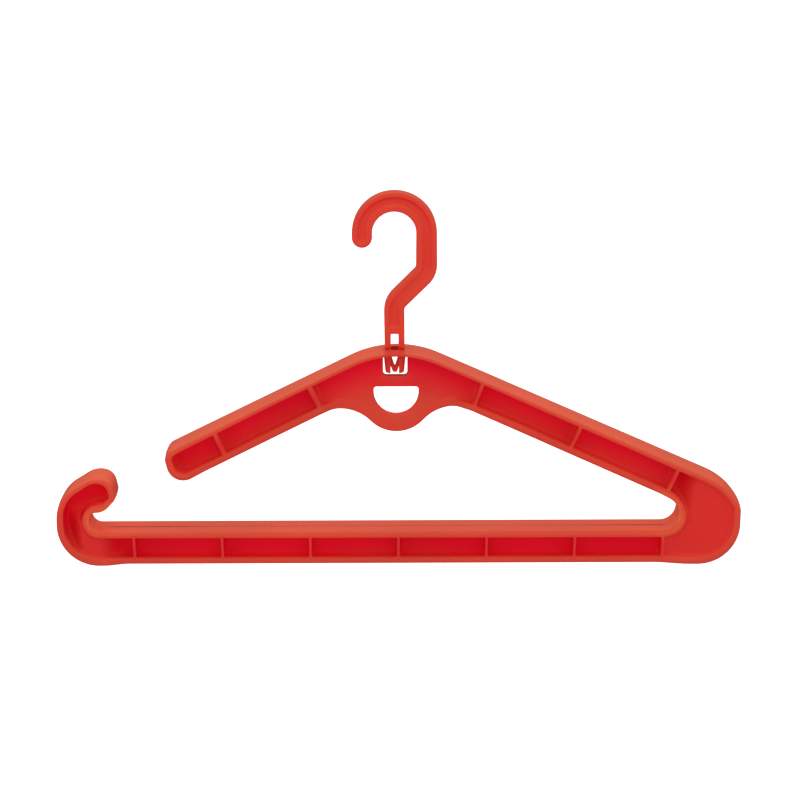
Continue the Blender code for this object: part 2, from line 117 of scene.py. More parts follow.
def rounded(corners, gap=0.01, longest=2.5, join=0.0, least=4):
    """Closed outline: straight runs between the corners, joined by arcs."""
    arcs = []
    count = len(corners)
    for i, (x, z, r) in enumerate(corners):
        p = np.array((x, z), float)
        u = np.array(corners[i - 1][:2]) - p
        v = np.array(corners[(i + 1) % count][:2]) - p
        u, v = u / np.linalg.norm(u), v / np.linalg.norm(v)
        if r <= 0:
            arcs.append([p])
            continue
        half = math.acos(float(np.clip(u @ v, -1, 1))) / 2
        centre = p + (u + v) / np.linalg.norm(u + v) * r / math.sin(half)
        start = p + u * r / math.tan(half) - centre
        end = p + v * r / math.tan(half) - centre
        a0, a1 = math.atan2(start[1], start[0]), math.atan2(end[1], end[0])
        turn = (a1 - a0 + math.pi) % (2 * math.pi) - math.pi
        chord = 2 * math.acos(1 - min(gap / r, 1))
        parts = max(least, math.ceil(abs(turn) / chord))
        arcs.append([
            centre + r * np.array((math.cos(a), math.sin(a)))
            for a in (a0 + turn * j / parts for j in range(parts + 1))
        ])
    for i, arc in enumerate(arcs):
        after = arcs[(i + 1) % count]
        if len(arc) > 1 and np.linalg.norm(arc[-1] - after[0]) < join:
            after[0] = (arc.pop() + after[0]) / 2
    pts = [p for arc in arcs for p in arc]
    out = []
    for i, p in enumerate(pts):
        q = pts[(i + 1) % len(pts)]
        parts = max(1, math.ceil(np.linalg.norm(q - p) / longest))
        out += [p + (q - p) * k / parts for k in range(parts)]
    return np.array(out)


def area(loop):
    x, z = loop[:, 0], loop[:, 1]
    return 0.5 * float(np.sum(x * np.roll(z, -1) - np.roll(x, -1) * z))


def outward(loop):
    """Offset directions that keep a moved loop parallel to itself."""
    run = np.roll(loop, -1, 0) - loop
    run /= np.linalg.norm(run, axis=1)[:, None]
    side = np.c_[run[:, 1], -run[:, 0]] * (1 if area(loop) > 0 else -1)
    before = np.roll(side, 1, 0)
    return (side + before) / (1 + np.sum(side * before, axis=1))[:, None]


def smooth_step(a, b, x):
    t = np.clip((x - a) / (b - a), 0, 1)
    return t * t * (3 - 2 * t)


def inside(points, loop):
    x, z = points[:, 0][:, None], points[:, 1][:, None]
    x0, z0 = loop[:, 0], loop[:, 1]
    x1, z1 = np.roll(x0, -1), np.roll(z0, -1)
    spans = (z0 > z) != (z1 > z)
    with np.errstate(divide="ignore", invalid="ignore"):
        at = x0 + (z - z0) * (x1 - x0) / (z1 - z0)
    return (np.sum(spans & (x < at), axis=1) % 2).astype(bool)


def triangulate(loops, holes, extra):
    """Triangles over the first loop, keeping every loop as edges."""
    verts, edges, owner = [], [], []
    for k, loop in enumerate(loops):
        first = len(verts)
        verts += [Vector(map(float, p)) for p in loop]
        owner += [(k, i) for i in range(len(loop))]
        n = len(loop)
        edges += [(first + i, first + (i + 1) % n) for i in range(n)]
    verts += [Vector(map(float, p)) for p in extra]
    owner += [(-1, i) for i in range(len(extra))]
    got = geometry.delaunay_2d_cdt(verts, edges, [], 0, 1e-6, True)
    points, faces, origin = np.array(got[0]), got[2], got[3]
    lost = [points[i] for i, o in enumerate(origin) if not o]
    if lost:
        raise ValueError(f"two of the loops cross at {lost[:6]}")
    kept = {tuple(sorted(e)) for e in edges}
    old = [o[0] for o in origin]
    # Regions between the loops; each is in or out as a whole.
    group = list(range(len(faces)))

    def top(i):
        while group[i] != i:
            group[i] = group[group[i]]
            i = group[i]
        return i

    seen = {}
    for i, f in enumerate(faces):
        for a, b in zip(f, f[1:] + f[:1]):
            key = (min(a, b), max(a, b))
            if tuple(sorted((old[a], old[b]))) in kept:
                continue
            if key in seen:
                group[top(i)] = top(seen[key])
            else:
                seen[key] = i
    corners = points[np.array([list(f) for f in faces])]
    u, v = corners[:, 1] - corners[:, 0], corners[:, 2] - corners[:, 0]
    size = np.abs(u[:, 0] * v[:, 1] - u[:, 1] * v[:, 0]) / 2
    middle = corners.mean(axis=1)
    best, total = {}, {}
    for i in range(len(faces)):
        g = top(i)
        total[g] = total.get(g, 0) + size[i]
        if g not in best or size[i] > size[best[g]]:
            best[g] = i
    use = {}
    for g, i in best.items():
        p = middle[i][None]
        use[g] = (
            total[g] > 1e-3 and inside(p, loops[0])[0]
            and not any(inside(p, hole)[0] for hole in holes)
        )
    faces = [list(f) for i, f in enumerate(faces) if use[top(i)]]
    return points, faces, [owner[o] for o in old]


def along(outline):
    lengths = np.linalg.norm(np.roll(outline, -1, 0) - outline, axis=1)
    return np.r_[0, np.cumsum(lengths)]


def station(outline, at, point):
    """Distance along the outline of the place nearest to a point."""
    p = np.array(point, float)
    run = np.roll(outline, -1, 0) - outline
    t = np.clip(
        np.sum((p - outline) * run, axis=1) / np.sum(run * run, axis=1), 0, 1
    )
    gap = np.linalg.norm(outline + run * t[:, None] - p, axis=1)
    i = int(np.argmin(gap))
    return at[i] + t[i] * np.linalg.norm(run[i])


def marked(outline, at, marks, smooth):
    """Value at each point of the outline, between marks on it."""
    where = [station(outline, at, m[0]) for m in marks]
    if where[0] > at[-1] / 2:
        where[0] -= at[-1]
    late = [m[0] for m, a, b in zip(marks, where, where[1:]) if b <= a]
    if late:
        raise ValueError(f"marks out of order at {late}")
    value = [m[1] for m in marks]
    where = np.array(where + [where[0] + at[-1]])
    value = np.array(value + [value[0]])
    s = at[:-1].copy()
    s[s < where[0]] += at[-1]
    s[s > where[-1]] -= at[-1]
    if not smooth:
        return np.interp(s, where, value)
    k = np.clip(np.searchsorted(where, s, side="right") - 1, 0, len(where) - 2)
    t = np.clip((s - where[k]) / (where[k + 1] - where[k]), 0, 1)
    t = t * t * (3 - 2 * t)
    return value[k] + (value[k + 1] - value[k]) * t


def crown(y):
    return CROWN_SLOPE * np.abs(y) + CROWN_CURVE * y * y


def spread(points, outline, depth):
    """Half depth carried inwards from the outline, nearest edge first."""
    lengths = np.linalg.norm(
        np.roll(outline, -1, 0) - np.roll(outline, 1, 0), axis=1
    )
    out = np.empty(len(points))
    for a in range(0, len(points), 2000):
        part = points[a:a + 2000]
        gap = np.sum((part[:, None, :] - outline[None]) ** 2, axis=2) + 0.02
        weight = lengths[None] / gap**2
        out[a:a + 2000] = (weight @ depth) / weight.sum(axis=1)
    return out


def raised(points):
    """1 where the web of the two lower corners stands near the front."""
    x, z = points[:, 0], points[:, 1]
    right = smooth_step(200.5, 213.5, x - 0.15 * (z + 187.0))
    right = np.maximum(right, smooth_step(-213.0, -223.0, z) * (x > 188.0))
    left = smooth_step(-231.0, -219.5, x) * smooth_step(-193.0, -209.0, x)
    left = left * smooth_step(-210.0, -218.0, z)
    return np.where(x > 0, right, left)


def facing(loop):
    """Rounding of a pocket's mouth: crisp at its top, soft at its foot."""
    turned = outward(loop)
    down = -turned[:, 1] / np.linalg.norm(turned, axis=1)
    return 0.5 + 1.0 * smooth_step(-0.6, 0.9, down)


def room(points):
    """How far a mouth may widen before it meets the middle of a rib."""
    gap = np.full(len(points), 9.0)
    for a, b, _ in BAR_RIBS + LEFT_RIBS + RIGHT_RIBS:
        a, b = np.array(a), np.array(b)
        t = np.clip((points - a) @ (b - a) / ((b - a) @ (b - a)), 0, 1)
        gap = np.minimum(gap, np.linalg.norm(points - a - (b - a) * t[:, None], axis=1))
    return 0.85 * gap - 0.02


# -------------------------------------------------------------------- pockets
class Rail:
    """The outline that the pockets follow, with its insets and directions."""

    def __init__(self):
        soft = [
            (x, z, 10.0 if i == CHIN else r)
            for i, (x, z, r) in enumerate(OUTLINE)
        ]
        self.line = rounded(soft, 0.006, 1.2, 0.3)
        self.at = along(self.line)
        self.turned = outward(self.line)
        self.inset = marked(self.line, self.at, INSET_MARKS, False)
        # Soften the change of inset along the outline.
        n = len(self.line)
        for _ in range(6):
            self.inset = (
                np.roll(self.inset, 1) + 2 * self.inset + np.roll(self.inset, -1)
            ) / 4
        self.n = n

    def curve(self, a, b, d):
        """Points from station a to b (b may pass the end), moved in by d."""
        s = np.r_[self.at[:-1], self.at[:-1] + self.at[-1]]
        keep = np.where((s > a) & (s < b))[0]
        i = keep % self.n
        return self.line[i] - self.turned[i] * (self.inset[i] + d)[:, None], s[keep]


def cross(curve, point, normal, last):
    """Where a curve crosses a line: (index position, point, direction)."""
    side = (curve - point) @ normal
    change = np.where((side[:-1] > 0) != (side[1:] > 0))[0]
    i = change[-1] if last else change[0]
    t = side[i] / (side[i] - side[i + 1])
    run = curve[i + 1] - curve[i]
    return i + t, curve[i] + run * t, run / np.linalg.norm(run)


def fillet(corner, u, v, r, parts):
    """Arc that rounds a corner; u and v point away from it."""
    half = math.acos(float(np.clip(u @ v, -1, 1))) / 2
    centre = corner + (u + v) / np.linalg.norm(u + v) * r / math.sin(half)
    start = corner + u * r / math.tan(half)
    end = corner + v * r / math.tan(half)
    a0 = math.atan2(*(start - centre)[::-1])
    a1 = math.atan2(*(end - centre)[::-1])
    turn = (a1 - a0 + math.pi) % (2 * math.pi) - math.pi
    pts = [
        centre + r * np.array((math.cos(a), math.sin(a)))
        for a in (a0 + turn * j / parts for j in range(parts + 1))
    ]
    return pts, r / math.tan(half)


class Pocket:
    """A recess between stretches of the outline and the ribs that end them.
    runs: ((rib at the start, its end), (rib at the end, its end)) clockwise,
    where 0 is a rib's upper end and 1 its lower."""

    def __init__(self, rail, runs, middle):
        self.rail = rail
        self.runs = runs
        self.middle = np.array(middle, float)
        self.counts = None

    def line_of(self, rib, d):
        a, b, thick = rib
        a, b = np.array(a), np.array(b)
        run = (b - a) / np.linalg.norm(b - a)
        normal = np.array((run[1], -run[0]))
        if (self.middle - a) @ normal < 0:
            normal = -normal
        return a + normal * (thick / 2 + d), normal

    def ring(self, d, r):
        rail = self.rail
        sides = []
        for (rib_a, end_a), (rib_b, end_b) in self.runs:
            s0 = station(rail.line, rail.at, rib_a[end_a])
            s1 = station(rail.line, rail.at, rib_b[end_b])
            if s1 < s0:
                s1 += rail.at[-1]
            curve, along_rail = rail.curve(s0 - 9, s1 + 9, d)
            i0, p0, u0 = cross(curve, *self.line_of(rib_a, d), False)
            i1, p1, u1 = cross(curve, *self.line_of(rib_b, d), True)
            sides.append((curve, i0, p0, u0, i1, p1, u1, along_rail))
        loop, counts = [], []
        number = len(sides)
        for k in range(number):
            curve, i0, p0, u0, i1, p1, u1, along_rail = sides[k]
            before = sides[k - 1]
            after = sides[(k + 1) % number]
            into = before[5] - p0
            into /= np.linalg.norm(into)
            away = after[2] - p1
            away /= np.linalg.norm(away)
            first, t0 = fillet(p0, into, u0, r, 5)
            last, t1 = fillet(p1, -u1, away, r, 5)
            body = np.r_[
                [p0], curve[int(math.floor(i0)) + 1:int(math.floor(i1)) + 1], [p1]
            ]
            dist = np.r_[0, np.cumsum(np.linalg.norm(np.diff(body, axis=0), axis=1))]
            t = [t0, dist[-1] - t1]
            if self.counts is None:
                counts.append(max(4, int((t[1] - t[0]) / 1.6)))
                count = counts[-1]
            else:
                count = self.counts[k]
            # Stops keep their places on the rail from ring to ring.
            number_ = np.arange(len(curve))
            rail_at = np.interp(
                np.r_[i0, np.arange(int(math.floor(i0)) + 1, int(math.floor(i1)) + 1), i1],
                number_, along_rail,
            )
            ends = np.interp(t, dist, rail_at)
            stops = np.linspace(ends[0], ends[1], count + 1)
            mid = np.c_[
                np.interp(stops, rail_at, body[:, 0]),
                np.interp(stops, rail_at, body[:, 1]),
            ][1:-1]
            rib_run = after[2] - p1
            rib_len = np.linalg.norm(rib_run)
            # The next corner's tangent length is close to this one's.
            loop += first + list(mid) + last
            steps = 5
            a = p1 + away * t1
            b = after[2] - away * t1
            loop += [a + (b - a) * j / steps for j in range(1, steps)]
        if self.counts is None:
            self.counts = counts
        return np.array(loop)


def pocket_list(rail):
    bar, left, right = BAR_RIBS, LEFT_RIBS, RIGHT_RIBS
    out = []
    for a, b in zip(bar, bar[1:]):
        out.append(Pocket(
            rail, (((a, 0), (b, 0)), ((b, 1), (a, 1))),
            ((a[0][0] + b[0][0]) / 2, -238),
        ))
    for a, b in ((right[0], right[1]), (right[1], right[2]), (left[1], left[0])):
        out.append(Pocket(
            rail, (((a, 0), (b, 0)), ((b, 1), (a, 1))),
            ((a[0][0] + b[0][0]) / 2, (a[0][1] + b[1][1]) / 2),
        ))
    out.append(Pocket(rail, (((left[1], 1), (left[1], 0)),), (-145, -173)))
    out.append(Pocket(rail, (((bar[0], 1), (bar[0], 0)),), (-200, -238)))
    out.append(Pocket(
        rail, (((right[2], 0), (bar[6], 1)), ((bar[6], 0), (right[2], 1))),
        (215, -215),
    ))
    out.append(Pocket(
        rail, (((left[0], 0), (right[0], 0)), ((right[0], 1), (left[0], 1))),
        (0, -128),
    ))
    return out


# ----------------------------------------------------------------- body mesh
class Builder:
    def __init__(self):
        self.verts, self.faces = [], []

    def ring(self, loop, y):
        first = len(self.verts)
        self.verts += [(p[0], d, p[1]) for p, d in zip(loop, y)]
        return first, len(loop)

    def join(self, a, b):
        (i0, n), (j0, _) = a, b
        self.faces += [
            (i0 + i, i0 + (i + 1) % n, j0 + (i + 1) % n, j0 + i) for i in range(n)
        ]

    def cap(self, loops, rings, holes, extra, y_extra):
        """Triangles between rings that are already there, plus free points."""
        points, tris, owner = triangulate(loops, holes, extra)
        free = [i for i, (k, _) in enumerate(owner) if k < 0]
        index = [0] * len(owner)
        for i, (k, j) in enumerate(owner):
            if k >= 0:
                index[i] = rings[k][0] + j
        y = y_extra(points[free]) if free else []
        for i, d in zip(free, y):
            index[i] = len(self.verts)
            self.verts.append((points[i][0], d, points[i][1]))
        self.faces += [[index[i] for i in f] for f in tris]

    def mesh(self, name):
        mesh = bpy.data.meshes.new(name)
        bm = bmesh.new()
        made = [bm.verts.new(Vector(v) * MM) for v in self.verts]
        for f in self.faces:
            bm.faces.new([made[i] for i in f])
        bmesh.ops.recalc_face_normals(bm, faces=bm.faces[:])
        bm.to_mesh(mesh)
        bm.free()
        return mesh


def grid(loop, step, margin):
    lo, hi = loop.min(0), loop.max(0)
    pts = []
    row = 0
    for z in np.arange(lo[1], hi[1], step * 0.87):
        pts += [(x, z) for x in np.arange(lo[0] + step / 2 * (row % 2), hi[0], step)]
        row += 1
    pts = np.array(pts)
    return pts[inside(pts, loop - outward(loop) * margin)]


def outer_rows(outline, depth, edge):
    """(loop, y) rows from the front rim, over the crown, to the back rim."""
    turned = outward(outline)
    flat = depth - edge
    rows = []
    for j in range(9):
        a = math.pi / 2 * (1 - j / 8)
        rows.append((crown(flat) + edge * (1 - math.cos(a)), flat + edge * math.sin(a)))
    for t in (0.86, 0.68, 0.48, 0.3):
        rows.append((crown(flat * t), flat * t))
    front = [(i, -y) for i, y in rows]
    back = [(i, y) for i, y in rows[::-1]]
    # A fine witness line where the mould closed, a little before the middle.
    line = np.minimum(1.75, 0.15 * depth)
    for off, out in ((-0.22, 0.0), (-0.1, 0.06), (0.1, 0.06), (0.22, 0.0)):
        y = -line + off
        front.append((crown(y) - out, y))
    front.append((crown(0.1 * depth), 0.1 * depth))
    return [(outline - turned * i[:, None], y) for i, y in front + back]


def make_body():
    outline = rounded(OUTLINE, 0.01, 2.5, 0.3)
    at = along(outline)
    depth = marked(outline, at, DEPTH_MARKS, True)
    # The edge is as round as the flange's thickness leaves room for.
    rail = Rail()
    gap = np.linalg.norm(outline[:, None, :] - rail.line[None], axis=2)
    inset = rail.inset[np.argmin(gap, axis=1)]
    turned = outward(outline)
    up = turned[:, 1] / np.linalg.norm(turned, axis=1)
    soft = 0.5 + 1.0 * smooth_step(-0.6, 0.9, -up)
    edge = np.clip(inset - soft - 1.1, 1.0, EDGE)
    for _ in range(4):
        edge = (np.roll(edge, 1) + 2 * edge + np.roll(edge, -1)) / 4
    edge = np.minimum(edge, 0.42 * depth)
    rows = outer_rows(outline, depth, edge)
    build = Builder()
    rings = [build.ring(loop, y) for loop, y in rows]
    for a, b in zip(rings, rings[1:]):
        build.join(a, b)
    pockets = pocket_list(rail)
    deepest = 3.2
    eye = rounded(EYE, 0.006, 2.0, 0.0, 6)
    for side in (-1, 1):
        rim_ring = rings[0] if side < 0 else rings[-1]
        lands, land_rings = [rows[0][0]], [rim_ring]
        for k, pocket in enumerate(pockets):
            out_ring = pocket.ring(-1.0, CORNER + 1.0)
            mouth = pocket.ring(0.0, CORNER)
            deep = pocket.ring(deepest, 0.35)
            land = spread(mouth, outline, depth)
            foot = mouth + (deep - mouth) * 0.8
            centre = k == len(pockets) - 1
            stepped = k in (len(pockets) - 2, len(pockets) - 3)
            floor = np.full(len(mouth), PLATE if centre else WEB)
            if stepped:
                # Forward is -Y: the web's front and back both move.
                lift = raised(foot) * (spread(foot, outline, depth) - WEB - NEAR)
                floor = floor - side * lift
            height = land - floor
            gap = np.linalg.norm(mouth[:, None, :] - outline[None], axis=2)
            near = np.argmin(gap, axis=1)
            left = gap.min(axis=1) - crown(depth[near]) - edge[near] - 0.3
            most = np.clip(np.minimum(room(mouth), left), 0.1, None)
            e = np.minimum(np.minimum(facing(mouth), 0.3 * height), most)
            f = np.minimum(FILLET, 0.45 * height)
            lean = DRAFT * height
            drop = height - e - f
            levels = []
            for t in (0, 0.25, 0.5, 0.75, 1.0):
                a = math.pi / 2 * t
                levels.append((-e * (1 - math.sin(a)), land - e * (1 - math.cos(a))))
            for t in (0.33, 0.67):
                levels.append((lean * t, land - e - drop * t))
            for t in (0, 0.2, 0.4, 0.6, 0.8, 1.0):
                a = math.pi / 2 * t
                levels.append((
                    lean + f * (1 - math.cos(a)), floor + f * (1 - math.sin(a)),
                ))
            # A low wall is one gentle slope.
            steep = smooth_step(2.5, 6.5, height)
            made = []
            for n, (d, y) in enumerate(levels):
                t = n / (len(levels) - 1)
                slope = land - height * t * t * (3 - 2 * t)
                y = y * steep + slope * (1 - steep)
                d = d * steep + (-1.2 + 3.6 * t) * (1 - steep)
                inward = np.clip(d, 0, None)[:, None] / deepest
                outwards = np.clip(-d, 0, most)[:, None]
                loop = mouth + (deep - mouth) * inward + (out_ring - mouth) * outwards
                made.append((loop, build.ring(loop, side * y)))
            for a, b in zip(made, made[1:]):
                build.join(a[1], b[1])
            lands.append(made[0][0])
            land_rings.append(made[0][1])
            last, last_ring = made[-1]
            if centre:
                e_eye = 0.8
                eye_rows = []
                turned = outward(eye)
                for t in (0, 0.25, 0.5, 0.75, 1.0):
                    a = math.pi / 2 * t
                    loop = eye + turned * e_eye * (1 - math.sin(a))
                    y = PLATE - e_eye * (1 - math.cos(a))
                    eye_rows.append((loop, build.ring(loop, np.full(len(eye), side * y))))
                for a, b in zip(eye_rows, eye_rows[1:]):
                    build.join(a[1], b[1])
                if side < 0:
                    eye_front = eye_rows[-1][1]
                else:
                    build.join(eye_front, eye_rows[-1][1])
                hole = eye_rows[0][0]
                extra = grid(last, 3.0, 1.2)
                extra = extra[~inside(extra, hole + outward(hole) * 2)]
                build.cap(
                    [last, hole], [last_ring, eye_rows[0][1]], [hole], extra,
                    lambda p, s=side: np.full(len(p), s * PLATE),
                )
            elif stepped:
                build.cap(
                    [last], [last_ring], [], grid(last, 2.0, 0.9),
                    lambda p, s=side: s * WEB - raised(p) * (
                        spread(p, outline, depth) - WEB - NEAR
                    ),
                )
            else:
                build.cap(
                    [last], [last_ring], [], grid(last, 3.0, 1.2),
                    lambda p, s=side: np.full(len(p), s * WEB),
                )
        extra = []
        for rib in BAR_RIBS + LEFT_RIBS + RIGHT_RIBS:
            a, b = np.array(rib[0]), np.array(rib[1])
            extra += [a + (b - a) * t for t in np.linspace(0.26, 0.74, 9)]
        build.cap(
            lands, land_rings, lands[1:], np.array(extra),
            lambda p, s=side: s * spread(p, outline, depth),
        )
    return build.mesh("hanger_moulding")


# ---------------------------------------------------------------------- hook
HOOK_INNER, HOOK_OUTER = 15.45, 29.5
STEM, STEM_FOOT = 6.95, -96.75
STEM_LEFT, STEM_RIGHT = 7.4, 6.8
HOOK = (
    (-HOOK_OUTER, 13.95, HOOK_OUTER), (HOOK_OUTER, 13.95, HOOK_OUTER),
    (HOOK_OUTER + 0.3, -45.3, 19.0), (STEM_RIGHT, -67.8, 4.0), (STEM, STEM_FOOT, 0.0),
    (-STEM, STEM_FOOT, 0.0), (-STEM_LEFT, -62.2, 20.0), (HOOK_INNER - 0.4, -39.9, 3.0),
    (HOOK_INNER, 0.0, HOOK_INNER), (-HOOK_INNER, 0.0, HOOK_INNER),
    (-HOOK_INNER, -25.3, 6.97), (-HOOK_OUTER, -25.3, 6.97),
)
HOOK_HALF, HOOK_EDGE = 6.3, 1.5


def make_hook():
    outline = rounded(HOOK, 0.008, 2.0, 0.3)
    depth = np.full(len(outline), HOOK_HALF)
    edge = np.full(len(outline), HOOK_EDGE)
    rows = outer_rows(outline, depth, edge)
    build = Builder()
    rings = [build.ring(loop, y) for loop, y in rows]
    for a, b in zip(rings, rings[1:]):
        build.join(a, b)
    recess = rounded(RECESS, 0.006, 1.5, 0.3)
    turned = outward(recess)
    for side in (-1, 1):
        made = []
        for k in range(9):
            t = k / 8
            made.append((-0.5 + 2.3 * t, HOOK_HALF - 1.3 * smooth_step(0, 1, t)))
        loops = []
        for d, y in made:
            loop = recess - turned * d
            loops.append((loop, build.ring(loop, np.full(len(loop), side * y))))
        for a, b in zip(loops, loops[1:]):
            build.join(a[1], b[1])
        build.cap([loops[-1][0]], [loops[-1][1]], [], np.zeros((0, 2)), None)
        rim = rows[0][0]
        build.cap(
            [rim, loops[0][0]], [rings[0] if side < 0 else rings[-1], loops[0][1]],
            [loops[0][0]], np.zeros((0, 2)), None,
        )
    return build.mesh("hook_moulding")


RIM = 3.5
RECESS = (
    (-HOOK_OUTER + RIM, 13.95 - RIM, HOOK_OUTER - RIM),
    (HOOK_OUTER - RIM, 13.95 - RIM, HOOK_OUTER - RIM),
    (HOOK_OUTER + 0.3 - RIM, -43.85, 15.5),
    (STEM_RIGHT - RIM, -66.35, 7.5),
    (STEM_RIGHT - RIM, -81.8, 2.5),
    (-STEM_LEFT + RIM, -81.8, 2.5),
    (-STEM_LEFT + RIM, -63.65, 16.5),
    (HOOK_INNER + 0.2 + RIM, -41.35, 6.5),
    (HOOK_INNER + 0.6 + RIM, RIM + 0.6, HOOK_INNER + 0.6 + RIM),
    (-HOOK_INNER - 0.6 - RIM, RIM + 0.6, HOOK_INNER + 0.6 + RIM),
    (-HOOK_INNER - 0.6 - RIM, -21.8, 3.1),
    (-HOOK_OUTER + RIM, -21.8, 3.1),
)
SLOT = ((-2.65, -86.0, 0.6), (2.65, -86.0, 0.6), (2.95, -118.0, 0.0),
        (-2.95, -118.0, 0.0))
FORK = ((6.7, -94.0), (6.7, -102.1), (7.0, -102.25), (7.45, -102.5),
        (7.6, -102.8), (7.6, -103.4), (6.6, -113.5), (6.45, -113.95),
        (6.05, -114.3))
SPRING = ((-3.5, -102.6), (-2.5, -102.6), (0.0, -110.4), (2.5, -102.6),
          (3.5, -102.6), (3.5, -108.9), (2.95, -109.2), (1.6, -113.7),
          (-1.25, -113.7), (-2.95, -109.2), (-3.5, -108.9))


def helper(name, build):
    obj = bpy.data.objects.new(name, build.mesh(name))
    bpy.context.scene.collection.objects.link(obj)
    return obj


def prism(name, corners, rows, gap=0.01, least=4):
    """Closed solid run through along Y; rows are (outward offset, y)."""
    loop = rounded(corners, gap, 4.0, 0.0, least)
    turned = outward(loop)
    build = Builder()
    rings = [
        build.ring(loop + turned * d, np.full(len(loop), y)) for d, y in rows
    ]
    for a, b in zip(rings, rings[1:]):
        build.join(a, b)
    for r in (rings[0], rings[-1]):
        build.faces.append(list(range(r[0], r[0] + r[1])))
    return helper(name, build)


def turned_solid(name, profile, sides):
    build = Builder()
    for r, z in profile:
        for i in range(sides):
            a = 2 * math.pi * (i + 0.5) / sides
            build.verts.append((r * math.cos(a), r * math.sin(a), z))
    for k in range(len(profile) - 1):
        build.join((k * sides, sides), ((k + 1) * sides, sides))
    build.faces.append(list(range(sides)))
    last = (len(profile) - 1) * sides
    build.faces.append(list(range(last, last + sides)))
    return helper(name, build)


def boolean(obj, other, operation):
    mod = obj.modifiers.new(other.name, "BOOLEAN")
    mod.operation = operation
    mod.solver = "EXACT"
    mod.object = other
    bpy.context.view_layer.update()
    got = obj.evaluated_get(bpy.context.evaluated_depsgraph_get())
    mesh = bpy.data.meshes.new_from_object(got)
    obj.modifiers.clear()
    old = obj.data
    obj.data = mesh
    bpy.data.meshes.remove(old)
    data = other.data
    bpy.data.objects.remove(other)
    bpy.data.meshes.remove(data)


def finish_mesh(obj, angle):
    bm = bmesh.new()
    bm.from_mesh(obj.data)
    bmesh.ops.remove_doubles(bm, verts=bm.verts[:], dist=2e-6)
    bad = [e for e in bm.edges if len(e.link_faces) != 2]
    if bad:
        print("OPEN", obj.name, len(bad), [tuple(round(c * 1000, 2) for c in bad[0].verts[0].co)])
    bm.to_mesh(obj.data)
    bm.free()
    obj.data.shade_smooth()
    obj.data.set_sharp_from_angle(angle=math.radians(angle))


def weight_normals(obj):
    mod = obj.modifiers.new("weighted", "WEIGHTED_NORMAL")
    mod.keep_sharp = True
    mod.weight = 80
    bpy.context.view_layer.update()
    got = obj.evaluated_get(bpy.context.evaluated_depsgraph_get())
    mesh = bpy.data.meshes.new_from_object(got)
    obj.modifiers.clear()
    old = obj.data
    obj.data = mesh
    bpy.data.meshes.remove(old)


def signed_gap(points, loop):
    """How far each point lies inside a loop, negative outside it."""
    gap = np.empty(len(points))
    a, run = loop, np.roll(loop, -1, 0) - loop
    size = np.sum(run * run, axis=1)
    for i in range(0, len(points), 2000):
        p = points[i:i + 2000, None, :]
        t = np.clip(np.sum((p - a) * run, axis=2) / size, 0, 1)
        away = np.linalg.norm(p - a - run * t[:, :, None], axis=2)
        gap[i:i + 2000] = away.min(axis=1)
    return np.where(inside(points, loop), gap, -gap)


